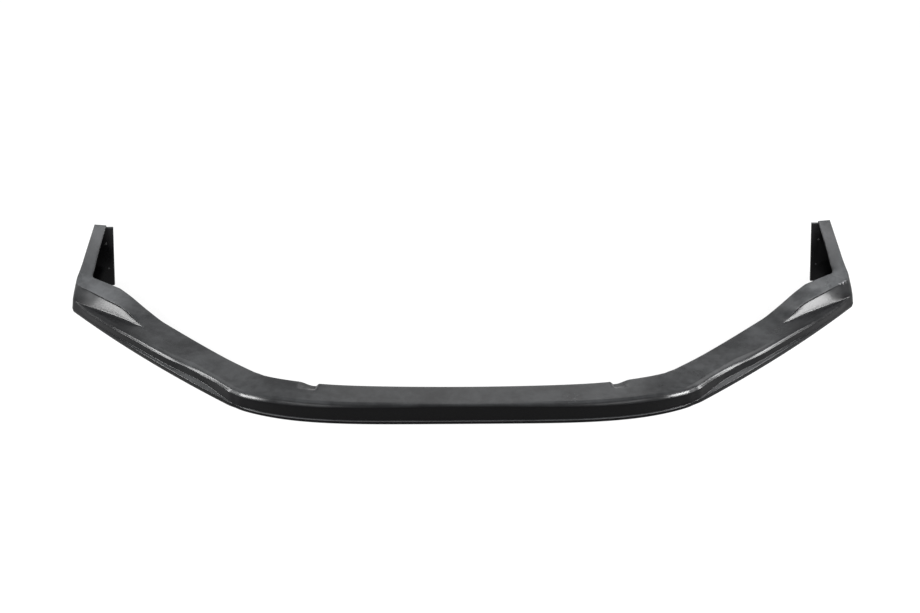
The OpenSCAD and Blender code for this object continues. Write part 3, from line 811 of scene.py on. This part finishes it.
def plasticFinish():
    material = bpy.data.materials.new("mouldedBlack")
    material.use_nodes = True
    tree = material.node_tree
    link = tree.links.new
    shader = tree.nodes["Principled BSDF"]
    shader.inputs["Specular IOR Level"].default_value = satin["gloss"]
    place = tree.nodes.new("ShaderNodeTexCoord")
    where, facing = place.outputs["Object"], place.outputs["Normal"]
    edge = tree.nodes.new("ShaderNodeAttribute")
    edge.attribute_name = "edgeRubAndHighlight"
    raw = tree.nodes.new("ShaderNodeAttribute")
    raw.attribute_name = "rawSide"

    def placed(groupTree, **values):
        node = tree.nodes.new("ShaderNodeGroup")
        node.node_tree = groupTree
        link(where, node.inputs["Vector"])
        for name, value in values.items():
            node.inputs[name].default_value = value
        return node

    def blend(amount, first, second):
        node = tree.nodes.new("ShaderNodeMix")
        # left unclamped, so the painted light on the shoulders near the ends can pass the dusted colour
        node.data_type = "RGBA"
        node.clamp_factor = False
        link(amount, node.inputs["Factor"])
        for socket, value in zip((node.inputs[6], node.inputs[7]), (first, second)):
            if isinstance(value, tuple):
                socket.default_value = value + (1,)
            else:
                link(value, socket)
        return node.outputs[2]

    grain = placed(grainGroup())
    dustAndTopLightNode = placed(dustAndTopLightGroup())
    link(facing, dustAndTopLightNode.inputs["Normal"])
    rubAndHighlight = placed(rubAndHighlightGroup())
    link(edge.outputs["Fac"], rubAndHighlight.inputs["Edge"])
    wornAndHighlit = rubAndHighlight.outputs["Mask"]
    scuffTree = scuffGroup()
    for spot, reach, amount in satin["scuffs"]:
        scuff = placed(scuffTree, Spot=spot, Reach=reach, Amount=amount)
        wornAndHighlit = calc(tree, "MAXIMUM", wornAndHighlit, scuff.outputs["Mask"])

    spread = tree.nodes.new("ShaderNodeSeparateXYZ")
    link(where, spread.inputs[0])
    outward = calc(tree, "ABSOLUTE", spread.outputs["X"])

    def zone(acrossBand, heightBand):
        return calc(tree, "MULTIPLY", band(tree, outward, *acrossBand),
                    band(tree, spread.outputs["Z"], *heightBand))

    clean = calc(tree, "SUBTRACT", 1.0, calc(tree, "MULTIPLY", raw.outputs["Fac"], satin["cleanerRaw"]))
    # dust patches and painted top light, less on the raw side
    dustAndPaintedLight = calc(tree, "MULTIPLY", dustAndTopLightNode.outputs["DustAndTopLight"], clean)
    # painted shade: the strip under each leaf is darkened
    underLeafShadeZone = zone(satin["shadeUnderLeafX"], satin["shadeUnderLeafZ"])
    dustAndPaintedLight = calc(tree, "MULTIPLY", dustAndPaintedLight, calc(tree, "SUBTRACT", 1.0,
                                             calc(tree, "MULTIPLY", underLeafShadeZone, satin["shadeUnderLeaf"])))
    # painted light: the shoulders and arms near the ends are made lighter
    endLightZone = zone(satin["endLightX"], satin["endLightZ"])
    dustAndPaintedLight = calc(tree, "MULTIPLY", dustAndPaintedLight, calc(tree, "MULTIPLY_ADD", endLightZone, satin["endLight"], 1.0))
    speckle = calc(tree, "SUBTRACT", grain.outputs["Speckle"], 0.5)
    dustAndPaintedLight = calc(tree, "MULTIPLY_ADD", speckle, satin["speckle"], dustAndPaintedLight)
    # black lightened towards the dusted colour by dust and painted light
    colour = blend(calc(tree, "MAXIMUM", dustAndPaintedLight, 0.0), satin["black"], satin["dustedAndLit"])
    # pale wear and scuffs, and painted highlight lines on the lip top and pocket edge
    link(blend(wornAndHighlit, colour, satin["rubbedAndHighlight"]), shader.inputs["Base Color"])

    rough = calc(tree, "MULTIPLY_ADD", dustAndTopLightNode.outputs["Patches"], satin["patchRoughness"], satin["roughness"])
    endRough = band(tree, outward, *satin["endRoughX"], 0.0, satin["endRough"])
    endRough = calc(tree, "MULTIPLY", endRough, calc(tree, "ADD", dustAndTopLightNode.outputs["Patches"], 0.5))
    rough = calc(tree, "ADD", rough, endRough)
    rough = calc(tree, "MULTIPLY_ADD", raw.outputs["Fac"], satin["rawRoughness"] - satin["roughness"], rough)
    link(calc(tree, "MULTIPLY_ADD", wornAndHighlit, satin["wornRoughness"], rough), shader.inputs["Roughness"])
    bump = shaderNode(tree, "ShaderNodeBump", Strength=satin["bumpStrength"], Distance=satin["bump"])
    link(grain.outputs["Height"], bump.inputs["Height"])
    link(bump.outputs[0], shader.inputs["Normal"])
    return material


finish = plasticFinish()
lip = makeShell(finish)
lip = joinWalls(lip, [makeEndWall("wallRight", 1), makeEndWall("wallLeft", -1)])
lip.data.materials.clear()
lip.data.materials.append(finish)
lip.data.shade_smooth()
sharpPast = 41
lip.data.set_sharp_from_angle(angle=math.radians(sharpPast))
print("lip", len(lip.data.polygons), "faces")
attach(lip, "root")
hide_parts("splitter_lip")

# Floor: white to the eye and in reflections, keeping a soft shadow
floorLook = dict(size=14.0, drop=0.0006, glow=0.885, farGlow=1.0, near=0.5, far=1.5, colour=0.06, bounce=0.5)
worldLook = dict(seen=1.0, fill=0.2)
lampRig = dict(
    keyRight=dict(at=(1.88, -0.10, 0.47), aim=(0.77, 0.09, 0.04), size=(0.28, 0.34), bright=72.0),
    keyLeft=dict(at=(-1.88, -0.10, 0.44), aim=(-0.77, 0.09, 0.04), size=(0.28, 0.34), bright=55.0),
    browRight=dict(at=(1.68, 0.04, 0.71), aim=(0.56, -0.11, 0.04), size=(0.42, 0.18), bright=80.0),
    browLeft=dict(at=(-1.68, 0.04, 0.71), aim=(-0.56, -0.11, 0.04), size=(0.42, 0.18), bright=68.0),
    frontRight=dict(at=(1.43, -0.62, 0.78), aim=(0.44, -0.24, 0.04), size=(0.5, 0.16), bright=180.0),
    frontLeft=dict(at=(-1.43, -0.62, 0.78), aim=(-0.44, -0.24, 0.04), size=(0.5, 0.16), bright=175.0),
    noseRight=dict(at=(0.78, -1.10, 0.93), aim=(0.33, -0.27, 0.04), size=(0.5, 0.14), bright=16.0),
    noseLeft=dict(at=(-0.78, -1.10, 0.93), aim=(-0.33, -0.27, 0.04), size=(0.5, 0.14), bright=16.0),
    overRight=dict(at=(1.0, -0.19, 0.87), aim=(0.82, 0.24, 0.12), size=(0.36, 0.36), bright=18.0),
    overLeft=dict(at=(-1.0, -0.19, 0.87), aim=(-0.82, 0.24, 0.12), size=(0.36, 0.36), bright=13.5),
    shelfRight=dict(at=(0.82, 0.46, 0.60), aim=(0.79, 0.145, 0.056), size=(0.2, 0.2), bright=5.0),
    shelfLeft=dict(at=(-0.82, 0.46, 0.60), aim=(-0.79, 0.145, 0.056), size=(0.2, 0.2), bright=2.5),
    back=dict(at=(0.1, 1.75, 1.25), aim=(0, -0.2, 0.05), size=(1.2, 0.9), bright=2.0),
)


def seenShare(tree):
    # 1 for camera, glossy and transmission rays
    path = tree.nodes.new("ShaderNodeLightPath")
    most = path.outputs["Is Camera Ray"]
    for name in ("Is Glossy Ray", "Is Transmission Ray"):
        most = calc(tree, "MAXIMUM", most, path.outputs[name])
    return most


def makeFloor():
    half = floorLook["size"] / 2
    data = bpy.data.meshes.new("floor")
    z = -floorLook["drop"]
    corners = [(-half, -half, z), (half, -half, z), (half, half, z), (-half, half, z)]
    data.from_pydata(corners, [], [(0, 1, 2, 3)])
    floor = bpy.data.objects.new("floor", data)
    bpy.context.scene.collection.objects.link(floor)
    material = bpy.data.materials.new("paleFloor")
    material.use_nodes = True
    tree = material.node_tree
    tree.nodes.clear()
    seenCoat = shaderNode(tree, "ShaderNodeBsdfDiffuse", Color=(floorLook["colour"],) * 3 + (1,))
    glow = tree.nodes.new("ShaderNodeEmission")
    bounce = shaderNode(tree, "ShaderNodeBsdfDiffuse", Color=(floorLook["bounce"],) * 3 + (1,))
    place = tree.nodes.new("ShaderNodeTexCoord")
    away = tree.nodes.new("ShaderNodeVectorMath")
    away.operation = "LENGTH"
    tree.links.new(place.outputs["Object"], away.inputs[0])
    tree.links.new(band(tree, away.outputs["Value"], floorLook["near"], floorLook["far"],
                        floorLook["glow"], floorLook["farGlow"]), glow.inputs["Strength"])
    both = tree.nodes.new("ShaderNodeAddShader")
    choose = tree.nodes.new("ShaderNodeMixShader")
    out = tree.nodes.new("ShaderNodeOutputMaterial")
    tree.links.new(seenCoat.outputs[0], both.inputs[0])
    tree.links.new(glow.outputs[0], both.inputs[1])
    tree.links.new(seenShare(tree), choose.inputs[0])
    tree.links.new(bounce.outputs[0], choose.inputs[1])
    tree.links.new(both.outputs[0], choose.inputs[2])
    tree.links.new(choose.outputs[0], out.inputs[0])
    data.materials.append(material)


def makeWorld():
    world = bpy.data.worlds.new("studio")
    bpy.context.scene.world = world
    world.use_nodes = True
    tree = world.node_tree
    tree.nodes.clear()
    seen = shaderNode(tree, "ShaderNodeBackground", Strength=worldLook["seen"])
    fill = shaderNode(tree, "ShaderNodeBackground", Strength=worldLook["fill"])
    for node in (seen, fill):
        node.inputs["Color"].default_value = (1, 1, 1, 1)
    choose = tree.nodes.new("ShaderNodeMixShader")
    out = tree.nodes.new("ShaderNodeOutputWorld")
    tree.links.new(seenShare(tree), choose.inputs[0])
    tree.links.new(fill.outputs[0], choose.inputs[1])
    tree.links.new(seen.outputs[0], choose.inputs[2])
    tree.links.new(choose.outputs[0], out.inputs[0])


def makeLamp(name, look):
    data = bpy.data.lights.new(name, "AREA")
    data.shape = "RECTANGLE"
    data.size, data.size_y = look["size"]
    # bright is the lamp face's own radiance
    data.energy = look["bright"] * math.pi * data.size * data.size_y
    lamp = bpy.data.objects.new(name, data)
    bpy.context.scene.collection.objects.link(lamp)
    lamp.location = look["at"]
    aim = Vector(look["aim"]) - Vector(look["at"])
    lamp.rotation_euler = aim.to_track_quat("-Z", "Y").to_euler()


# Camera fitted to both halves of the photograph's outline
view = dict(elevation=30.0, turn=0.309, roll=-0.209, away=3.67766, target=(-0.00694, 0.17948, 0.0),
            focalPixels=1650.0, imageWidth=920.0, sensorWidth=36.0)


def makeCamera():
    e, t, r = (math.radians(view[k]) for k in ("elevation", "turn", "roll"))
    forward = Vector((math.sin(t) * math.cos(e), math.cos(t) * math.cos(e), -math.sin(e)))
    level = Vector((math.cos(t), -math.sin(t), 0))
    upright = level.cross(forward)
    right = level * math.cos(r) + upright * math.sin(r)
    up = upright * math.cos(r) - level * math.sin(r)
    data = bpy.data.cameras.new("photoCamera")
    data.sensor_width = view["sensorWidth"]
    data.lens = view["focalPixels"] / view["imageWidth"] * data.sensor_width
    camera = bpy.data.objects.new("photoCamera", data)
    bpy.context.scene.collection.objects.link(camera)
    turnMatrix = Matrix((right, up, -forward)).transposed().to_4x4()
    camera.matrix_world = Matrix.Translation(Vector(view["target"]) - forward * view["away"]) @ turnMatrix
    bpy.context.scene.camera = camera


makeFloor()
makeWorld()
for name, look in lampRig.items():
    makeLamp(name + "Softbox", look)
makeCamera()
bpy.context.scene.view_settings.view_transform = "Standard"
print("stage, lamps and camera set")
